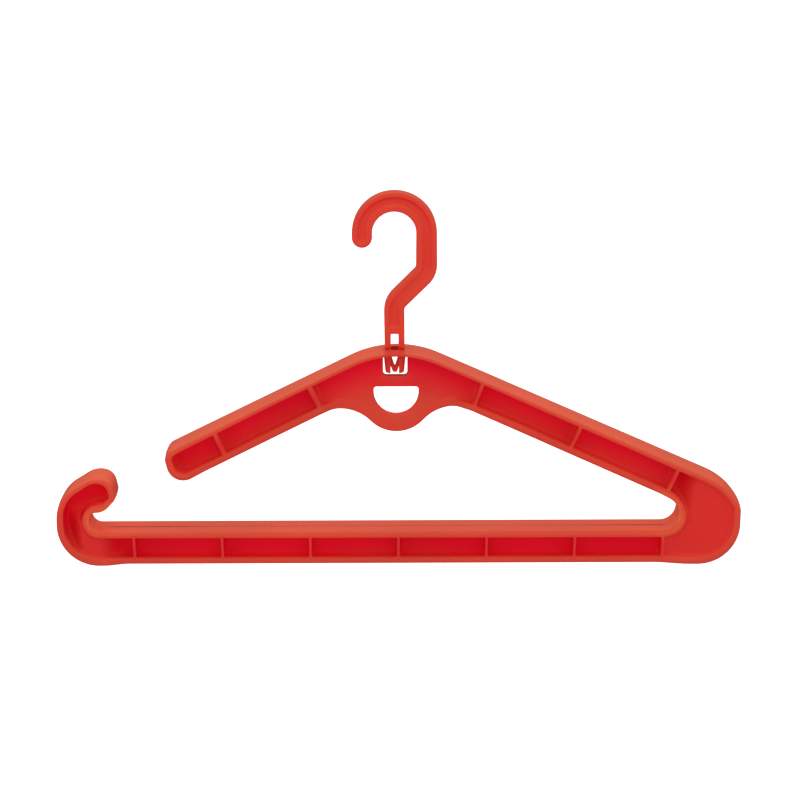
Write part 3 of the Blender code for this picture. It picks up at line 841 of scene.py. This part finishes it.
def light_tone(obj, is_open, share, ribs, calm):
    """Painted light: how openly each point faces a soft sky over the object: 1 on an upright
    front face, about 3 on top, near 0 deep in a recess. is_open marks the
    outer faces, which nothing shades; share shapes the rest, ribs is
    added to the outer faces, and calm marks those that get no light from above.
    The levels and the masks made here are stored as attributes that paint
    light and shade into the base colour."""
    mesh = obj.data
    count = len(mesh.vertices)
    co = np.empty(count * 3)
    mesh.vertices.foreach_get("co", co)
    co = co.reshape(-1, 3)
    no = np.empty(count * 3)
    mesh.vertex_normals.foreach_get("vector", no)
    no = no.reshape(-1, 3)
    clear = is_open(co * 1000)
    tree = BVHTree.FromPolygons(
        [Vector(c) for c in co], [tuple(f.vertices) for f in mesh.polygons]
    )
    high, round_ = 7, 10
    total = np.zeros(count)
    for i in range(high):
        rise = (i + 0.5) / high * math.pi / 2
        for j in range(round_):
            turn = 2 * math.pi * (j + 0.5 * (i % 2) + 0.25) / round_
            d = np.array((
                math.cos(rise) * math.cos(turn), math.cos(rise) * math.sin(turn),
                math.sin(rise),
            ))
            weight = math.sin(rise) ** 2 * math.cos(rise)
            faces = no @ d
            total[clear] += np.clip(faces[clear], 0, None) * weight
            ray = Vector(d)
            for k in np.where((faces > 0.02) & ~clear)[0]:
                start = Vector(co[k] + no[k] * 2e-4)
                if tree.ray_cast(start, ray, 0.08)[0] is None:
                    total[k] += faces[k] * weight
    front = sum(
        math.cos((i + 0.5) / high * math.pi / 2) ** 2
        * math.sin((i + 0.5) / high * math.pi / 2) ** 2 for i in range(high)
    ) * round_ / math.pi
    total /= front
    factor, least, lift = share(co * 1000)
    lit = np.maximum(total * factor + lift * np.clip(no[:, 2], 0, 1), least)
    pairs = np.empty(len(mesh.edges) * 2, int)
    mesh.edges.foreach_get("vertices", pairs)
    pairs = pairs.reshape(-1, 2)
    pairs = pairs[~clear[pairs].any(axis=1)]
    for i in range(10):
        around, met = np.zeros(count), np.zeros(count)
        for a, b in ((0, 1), (1, 0)):
            np.add.at(around, pairs[:, a], lit[pairs[:, b]])
            np.add.at(met, pairs[:, a], 1)
        lit = np.where(met > 0, 0.5 * lit + 0.5 * around / np.maximum(met, 1), lit)
    total = np.where(clear, np.maximum(total, 1.0), lit)
    total += ribs(co * 1000) * clear
    total = np.where(clear & calm(co * 1000), np.minimum(total, 1.1), total)
    # Painted light: upward faces inside the recesses, low down, are painted a lighter red.
    up = np.where(clear, 0.0, np.clip(no[:, 2], 0, 1)) * (co[:, 2] < -0.12)
    up *= 0.3 + lift
    factor, least, lift = share(co * 1000)
    # Painted shade on the raised web of the two lower corners.
    plate_shade = np.where(clear, 0.0, np.clip(least * 2.8, 0, 1)) * (obj is body)
    made = mesh.attributes.new("plate_shade", "FLOAT", "POINT")
    made.data.foreach_set("value", plate_shade.astype(np.float32))
    # Painted shade on the rounded crown edges that face up and forwards, toning down the light they
    # catch.
    brow_shade = smooth_step(0.2, 0.5, no[:, 2]) * smooth_step(0.15, 0.5, np.abs(no[:, 1]))
    brow_shade *= clear * (obj is body)
    made = mesh.attributes.new("brow_shade", "FLOAT", "POINT")
    made.data.foreach_set("value", brow_shade.astype(np.float32))
    # Painted light on the crowns in the throats and at the ends of the bar.
    throat_light = throat_part(co * 1000, no) * clear
    made = mesh.attributes.new("throat_light", "FLOAT", "POINT")
    made.data.foreach_set("value", throat_light.astype(np.float32))
    made = mesh.attributes.new("ledge_light", "FLOAT", "POINT")
    made.data.foreach_set("value", up.astype(np.float32))
    # Painted light level of each point, which sets the base colour.
    made = mesh.attributes.new("painted_light_level", "FLOAT", "POINT")
    made.data.foreach_set("value", total.astype(np.float32))


def body_open(co):
    flat = co[:, [0, 2]]
    covered = np.zeros(len(co), bool)
    for pocket in pocket_list(Rail()):
        covered |= inside(flat, pocket.ring(0.0, CORNER))
    return ~covered


def body_share(co):
    """Factor, least value and gain of upward faces for the painted light in the shaded places, set
    per region: the raised corner webs, the low centre, the arms, the bar and the curl.
    """
    x, z = co[:, 0], co[:, 2]
    stepped = ((x > 190) | (x < -186)) * raised(co[:, [0, 2]])
    low = smooth_step(-118, -138, z) * smooth_step(45, 25, np.abs(x))
    bar = smooth_step(-218, -224, z) * (np.abs(x + 5) < 190)
    arm = smooth_step(40, 80, x) - smooth_step(-40, -80, x)
    arm = 0.14 * arm * smooth_step(-215, -205, z)
    curl = smooth_step(-188, -202, x) * (1 - raised(co[:, [0, 2]]))
    factor = 1 - 0.55 * stepped + 0.4 * low + arm - 0.4 * bar
    return factor * (1 - 0.5 * curl), 0.36 * stepped, 0.7 - 0.7 * bar


def throat_part(co, no):
    """Painted light: 1 on the crowns of the two throats, where they turn away from above."""
    part = np.zeros(len(co))
    for centre in THROATS:
        off = np.linalg.norm(co[:, [0, 2]] - np.array(centre), axis=1)
        part = np.maximum(part, smooth_step(21, 14, off))
    part *= smooth_step(0.95, 0.5, no[:, 2])
    # Painted light also on the ends of the bar, where the arm and the curl keep light off.
    ends = np.maximum(smooth_step(115, 195, co[:, 0]), smooth_step(-175, -210, co[:, 0]))
    ends = 0.6 * ends * smooth_step(-219, -222, co[:, 2]) * smooth_step(0.5, 0.9, no[:, 2])
    return np.maximum(part, ends) * smooth_step(0.9, 0.45, np.abs(no[:, 1]))


def hook_share(co):
    # Painted light levels for the hook's shaded places: factor, least value and gain of upward
    # faces.
    high = co[:, 2] > -84.5
    leg = (0.7 + 0.15 * smooth_step(-103, -101, co[:, 2])) * (co[:, 1] < -2)
    # The painted shade in the recess is weak where the hook runs aslant.
    slant = smooth_step(-68, -58, co[:, 2]) * smooth_step(-36, -42, co[:, 2])
    least = np.where(high, 1.02 * slant, leg)
    return np.where(high, 0.88, 1.0), least, np.where(high, 0.0, 0.4)


THROATS = ((-206, -219), (192, -213))


def on_rib(co):
    """Painted light and shade added to the outer faces: less on the front edges of the ribs,
    which are painted darker and redder, and more in the two throats, between bright flanks."""
    flat = co[:, [0, 2]]
    gap = np.full(len(co), 9.0)
    for a, b, thick in BAR_RIBS + LEFT_RIBS + RIGHT_RIBS:
        a, b = np.array(a), np.array(b)
        t = np.clip((flat - a) @ (b - a) / ((b - a) @ (b - a)), 0.18, 0.82)
        away = np.linalg.norm(flat - a - (b - a) * t[:, None], axis=1)
        gap = np.minimum(gap, away - thick / 2)
    throat_light = np.zeros(len(co))
    for centre in THROATS:
        off = np.linalg.norm(flat - np.array(centre), axis=1)
        throat_light = np.maximum(throat_light, smooth_step(22, 13, off))
    return 1.9 * throat_light - 0.35 * smooth_step(1.5, 0.2, gap)


def near_mouth(co):
    flat = co[:, [0, 2]]
    near = np.zeros(len(co), bool)
    for pocket in pocket_list(Rail()):
        near |= inside(flat, pocket.ring(-1.8, CORNER + 1.8))
    return near


def hook_open(co):
    return (co[:, 2] > -84.5) & ~inside(co[:, [0, 2]], rounded(RECESS, 0.006, 1.5, 0.3))


# ----------------------------------------------------------------- materials
# Painted light and shade: colours for the recesses (painted shade), for upright faces, and for tops
# (painted light).
BODY_PAINTED_TONES = ((0.91, 0.0022, 0.028), (0.75, 0.062, 0.037), (0.79, 0.101, 0.041))
HOOK_PAINTED_TONES = ((0.84, 0.016, 0.025), (0.80, 0.059, 0.034), (0.69, 0.084, 0.036))


# Semi-gloss plastic whose base colour carries painted light and shade from the attributes made by
# light_tone.
def plastic(name, seed, painted_tones, stem_shade):
    mat = bpy.data.materials.new(name)
    mat.use_nodes = True
    tree = mat.node_tree
    nodes, links = tree.nodes, tree.links
    shader = nodes["Principled BSDF"]
    shader.inputs["Metallic"].default_value = 0.0
    shader.inputs["IOR"].default_value = 1.49
    shader.inputs["Specular Tint"].default_value = (1.0, 0.16, 0.12, 1)
    coords = nodes.new("ShaderNodeTexCoord")

    def noise(scale, detail, rough, offset):
        shift = nodes.new("ShaderNodeVectorMath")
        shift.operation = "ADD"
        shift.inputs[1].default_value = (offset, offset * 0.37, -offset)
        links.new(coords.outputs["Object"], shift.inputs[0])
        n = nodes.new("ShaderNodeTexNoise")
        n.inputs["Scale"].default_value = scale
        n.inputs["Detail"].default_value = detail
        n.inputs["Roughness"].default_value = rough
        links.new(shift.outputs[0], n.inputs["Vector"])
        return n.outputs["Fac"]

    def ramp(value, lo, hi, a, b):
        m = nodes.new("ShaderNodeMapRange")
        m.inputs["From Min"].default_value = lo
        m.inputs["From Max"].default_value = hi
        m.inputs["To Min"].default_value = a
        m.inputs["To Max"].default_value = b
        links.new(value, m.inputs["Value"])
        return m.outputs["Result"]

    def mix(fac, a, b, blend="MIX"):
        m = nodes.new("ShaderNodeMix")
        m.data_type = "RGBA"
        m.blend_type = blend
        if isinstance(fac, float):
            m.inputs["Factor"].default_value = fac
        else:
            links.new(fac, m.inputs["Factor"])
        for slot, value in (("A", a), ("B", b)):
            socket = [s for s in m.inputs if s.name == slot and s.type == "RGBA"][0]
            if isinstance(value, tuple):
                socket.default_value = (*value, 1)
            else:
                links.new(value, socket)
        return [s for s in m.outputs if s.type == "RGBA"][0]

    # Painted light and shade: the painted light level of each point mixes a deep red into the
    # recesses, where the walls face each other, and a lighter colour onto the tops.
    painted_light_level = nodes.new("ShaderNodeAttribute")
    painted_light_level.attribute_name = "painted_light_level"
    painted_light_level = painted_light_level.outputs["Fac"]
    low = mix(ramp(painted_light_level, 0.08, 1.0, 0.0, 1.0), painted_tones[0], painted_tones[1])
    colour = mix(ramp(painted_light_level, 1.0, 3.0, 0.0, 1.0), low, painted_tones[2])
    # Painted light on upward faces inside the recesses.
    ledge_light = nodes.new("ShaderNodeAttribute")
    ledge_light.attribute_name = "ledge_light"
    colour = mix(ramp(ledge_light.outputs["Fac"], 0.0, 0.8, 0.0, 0.55), colour, (1.0, 0.052, 0.060))
    # Painted shade on the raised corner webs and on the rounded crown edges; painted light on the
    # crowns in the throats.
    for attribute, share, shade in (
            ("plate_shade", 0.8, (0.755, 0.031, 0.025)), ("throat_light", 0.85, (1.0, 0.155, 0.060)),
            ("brow_shade", 0.6, (0.66, 0.072, 0.038))):
        part = nodes.new("ShaderNodeAttribute")
        part.attribute_name = attribute
        colour = mix(ramp(part.outputs["Fac"], 0.0, 1.0, 0.0, share), colour, shade)
    # A darker line is painted along the witness line on the top of the bar, patchy along its
    # length.
    split = nodes.new("ShaderNodeSeparateXYZ")
    links.new(coords.outputs["Object"], split.inputs[0])
    off = nodes.new("ShaderNodeMath")
    off.operation = "ABSOLUTE"
    add = nodes.new("ShaderNodeMath")
    add.operation = "ADD"
    add.inputs[1].default_value = 0.00175
    links.new(split.outputs["Y"], add.inputs[0])
    links.new(add.outputs[0], off.inputs[0])
    near = ramp(off.outputs[0], 0.0008, 0.0017, 1.0, 0.0)
    on_top = ramp(painted_light_level, 1.8, 2.4, 0.0, 1.0)
    low_down = ramp(split.outputs["Z"], -0.2222, -0.2238, 0.0, 1.0)
    outwards = nodes.new("ShaderNodeMath")
    outwards.operation = "ABSOLUTE"
    links.new(split.outputs["X"], outwards.inputs[0])
    ends = ramp(outwards.outputs[0], 0.13, 0.165, 0.45, 1.0)
    both = nodes.new("ShaderNodeMath")
    both.operation = "MULTIPLY"
    links.new(low_down, both.inputs[0])
    links.new(ends, both.inputs[1])
    low_down = both.outputs[0]
    for low_edge, high_edge in ((-0.207, -0.199), (0.194, 0.187)):
        part = ramp(split.outputs["X"], low_edge, high_edge, 0.0, 1.0)
        both = nodes.new("ShaderNodeMath")
        both.operation = "MULTIPLY"
        links.new(low_down, both.inputs[0])
        links.new(part, both.inputs[1])
        low_down = both.outputs[0]
    weigh = nodes.new("ShaderNodeMath")
    weigh.operation = "MULTIPLY"
    links.new(on_top, weigh.inputs[0])
    links.new(low_down, weigh.inputs[1])
    on_top = weigh.outputs[0]
    both = nodes.new("ShaderNodeMath")
    both.operation = "MULTIPLY"
    links.new(near, both.inputs[0])
    links.new(on_top, both.inputs[1])
    patchy = nodes.new("ShaderNodeMath")
    patchy.operation = "MULTIPLY"
    links.new(both.outputs[0], patchy.inputs[0])
    links.new(ramp(noise(11.0, 1.0, 0.5, seed + 23), 0.35, 0.65, 0.7, 1.0), patchy.inputs[1])
    colour = mix(patchy.outputs[0], colour, (0.42, 0.030, 0.011))
    if stem_shade:
        # Painted shade on the front of the flange around the stem, where it enters.
        front = ramp(split.outputs["Y"], -0.004, -0.006, 0.0, 0.75)
        for low_edge, high_edge, axis in (
                (-0.0078, -0.0070, "X"), (0.0078, 0.0070, "X"), (-0.1045, -0.1035, "Z")):
            part = ramp(split.outputs[axis], low_edge, high_edge, 0.0, 1.0)
            both = nodes.new("ShaderNodeMath")
            both.operation = "MULTIPLY"
            links.new(front, both.inputs[0])
            links.new(part, both.inputs[1])
            front = both.outputs[0]
        colour = mix(front, colour, (0.66, 0.040, 0.035))
    # Edges are rubbed a little paler here and there.
    geometry_ = nodes.new("ShaderNodeNewGeometry")
    worn = nodes.new("ShaderNodeMath")
    worn.operation = "MULTIPLY"
    links.new(ramp(geometry_.outputs["Pointiness"], 0.52, 0.60, 0.0, 0.10), worn.inputs[0])
    links.new(ramp(noise(60.0, 4.0, 0.7, seed + 29), 0.45, 0.62, 0.0, 1.0), worn.inputs[1])
    colour = mix(worn.outputs[0], colour, (0.86, 0.16, 0.075))
    # Slow flow marks and a fine mottle of the pigment.
    flow = ramp(noise(16.0, 2.0, 0.5, seed), 0.3, 0.7, 0.955, 1.045)
    fine = ramp(noise(420.0, 3.0, 0.6, seed + 3), 0.3, 0.7, 0.98, 1.02)
    both = nodes.new("ShaderNodeMath")
    both.operation = "MULTIPLY"
    links.new(flow, both.inputs[0])
    links.new(fine, both.inputs[1])
    scaled = nodes.new("ShaderNodeVectorMath")
    scaled.operation = "SCALE"
    links.new(colour, scaled.inputs[0])
    links.new(both.outputs[0], scaled.inputs["Scale"])
    colour = scaled.outputs[0]
    links.new(colour, shader.inputs["Base Color"])
    rough = ramp(noise(90.0, 4.0, 0.6, seed + 11), 0.3, 0.7, 0.36, 0.48)
    links.new(rough, shader.inputs["Roughness"])
    bump = nodes.new("ShaderNodeBump")
    bump.inputs["Strength"].default_value = 0.25
    bump.inputs["Distance"].default_value = 0.00006
    links.new(noise(1600.0, 2.0, 0.5, seed + 13), bump.inputs["Height"])
    wave = nodes.new("ShaderNodeBump")
    wave.inputs["Strength"].default_value = 0.35
    wave.inputs["Distance"].default_value = 0.0004
    links.new(noise(55.0, 1.0, 0.4, seed + 17), wave.inputs["Height"])
    links.new(bump.outputs["Normal"], wave.inputs["Normal"])
    links.new(wave.outputs["Normal"], shader.inputs["Normal"])
    return mat


def plain(name, colour, roughness, glow=0.0):
    mat = bpy.data.materials.new(name)
    mat.use_nodes = True
    shader = mat.node_tree.nodes["Principled BSDF"]
    shader.inputs["Base Color"].default_value = (*colour, 1)
    shader.inputs["Roughness"].default_value = roughness
    shader.inputs["Specular IOR Level"].default_value = 0.1
    if glow:
        shader.inputs["Emission Color"].default_value = (*colour, 1)
        shader.inputs["Emission Strength"].default_value = glow
    return mat


# -------------------------------------------------------------------- pieces
def piece(name, mesh):
    obj = bpy.data.objects.new(name, mesh)
    bpy.context.scene.collection.objects.link(obj)
    return obj


body = piece("hanger_moulding", make_body())
boolean(body, prism(
    "window_cutter", WINDOW,
    ((0.75, -3.5), (0.35, -3.05), (0.1, -2.7), (0, -2.3), (0, 2.3), (0.1, 2.7),
     (0.35, 3.05), (0.75, 3.5)), 0.004, 6), "DIFFERENCE")
r = SWIVEL_HOLE_RADIUS
boolean(body, turned_solid("hole_cutter", (
    (r + 1.6, -95.5), (r + 0.45, -97.0), (r + 0.15, -97.35), (r, -97.8), (r, -104.0),
), 72), "DIFFERENCE")
finish_mesh(body, 40)
weight_normals(body)

hook = piece("hook_moulding", make_hook())
boolean(hook, turned_solid("fork_blank", FORK, 72), "UNION")
boolean(hook, prism("slot_cutter", SLOT, ((0, -12), (0, 12)), 0.004, 5), "DIFFERENCE")
boolean(hook, prism("spring_blank", tuple((x, z, 0.3) for x, z in SPRING),
                    ((-0.2, -3.2), (-0.06, -3.13), (0, -2.95), (0, 2.95),
                     (-0.06, 3.13), (-0.2, 3.2)), 0.004, 3), "UNION")
finish_mesh(hook, 40)
weight_normals(hook)
light_tone(body, body_open, body_share, on_rib, near_mouth)
light_tone(
    hook, hook_open, hook_share, lambda co: np.zeros(len(co)),
    lambda co: np.zeros(len(co), bool),
)

body.data.materials.clear()
body.data.materials.append(plastic("body_plastic_painted_light", 1.0, BODY_PAINTED_TONES, True))
hook.data.materials.clear()
hook.data.materials.append(plastic("hook_plastic_painted_light", 5.0, HOOK_PAINTED_TONES, False))

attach(body, "body")
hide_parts("hanger_body")
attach(hook, "hook")
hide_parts("swivel_hook")

# --------------------------------------------------------------------- stage
FLOOR = -0.62
mesh = bpy.data.meshes.new("floor")
size = 30.0
mesh.from_pydata(
    [(-size, -size, FLOOR), (size, -size, FLOOR), (size, size, FLOOR),
     (-size, size, FLOOR)], [], [(0, 1, 2, 3)])
floor = piece("floor", mesh)
mesh.materials.append(plain("floor_paper", (0.8, 0.8, 0.8), 0.9, 0.75))
floor.visible_glossy = False
floor.visible_diffuse = False


def lamp(name, place, target, size_x, size_y, power, colour=(1, 1, 1)):
    data = bpy.data.lights.new(name, "AREA")
    data.shape = "RECTANGLE"
    data.size, data.size_y = size_x, size_y
    data.energy = power
    data.color = colour
    obj = bpy.data.objects.new(name, data)
    bpy.context.scene.collection.objects.link(obj)
    obj.location = place
    obj.rotation_euler = (Vector(target) - Vector(place)).to_track_quat("-Z", "Y").to_euler()
    return obj


lamp("overhead", (0.0, -0.1, 1.6), (0, 0, -0.15), 2.6, 2.2, 9.0)

# A white studio, soft from all sides; what the gloss mirrors is darker
# towards the horizon, as with black cards around the table.
world = bpy.data.worlds.new("studio")
bpy.context.scene.world = world
world.use_nodes = True
tree = world.node_tree
nodes, links = tree.nodes, tree.links
background = nodes["Background"]
background.inputs["Color"].default_value = (1, 1, 1, 1)
path = nodes.new("ShaderNodeLightPath")
coords = nodes.new("ShaderNodeTexCoord")
split = nodes.new("ShaderNodeSeparateXYZ")
links.new(coords.outputs["Generated"], split.inputs[0])


def sky(lo, hi, a, b):
    m = nodes.new("ShaderNodeMapRange")
    m.interpolation_type = "SMOOTHSTEP"
    m.inputs["From Min"].default_value = lo
    m.inputs["From Max"].default_value = hi
    m.inputs["To Min"].default_value = a
    m.inputs["To Max"].default_value = b
    links.new(split.outputs["Z"], m.inputs["Value"])
    return m.outputs["Result"]


def choose(fac, a, b):
    m = nodes.new("ShaderNodeMix")
    m.data_type = "FLOAT"
    links.new(fac, m.inputs["Factor"])
    for slot, value in (("A", a), ("B", b)):
        socket = [s for s in m.inputs if s.name == slot and s.type == "VALUE"][0]
        if isinstance(value, float):
            socket.default_value = value
        else:
            links.new(value, socket)
    return [s for s in m.outputs if s.type == "VALUE"][0]


soft = sky(-0.7, 0.9, 0.78, 1.0)
gloss = sky(0.0, 0.2, 0.03, 0.22)
level = choose(path.outputs["Is Glossy Ray"], soft, gloss)
level = choose(path.outputs["Is Camera Ray"], level, 1.0)
links.new(level, background.inputs["Strength"])

scene = bpy.context.scene
scene.view_settings.view_transform = "Standard"
scene.view_settings.look = "None"
scene.cycles.use_denoising = True
scene.cycles.max_bounces = 12
scene.cycles.diffuse_bounces = 8

# -------------------------------------------------------------------- camera
target = Vector((0.0036, 0.0, -0.1346))
distance, tilt, roll = 2.1787, math.radians(12.78), math.radians(0.19)
data = bpy.data.cameras.new("camera")
data.sensor_width = 36.0
data.lens = 36.0 * distance / (800 * 0.7028 * MM)
data.clip_end = 50.0
camera = bpy.data.objects.new("camera", data)
scene.collection.objects.link(camera)
camera.location = target + distance * Vector((0, -math.cos(tilt), math.sin(tilt)))
look = (target - camera.location).to_track_quat("-Z", "Y").to_matrix().to_4x4()
camera.matrix_world = (
    Matrix.Translation(camera.location) @ look @ Matrix.Rotation(-roll, 4, "Z")
)
scene.camera = camera

bpy.context.view_layer.update()
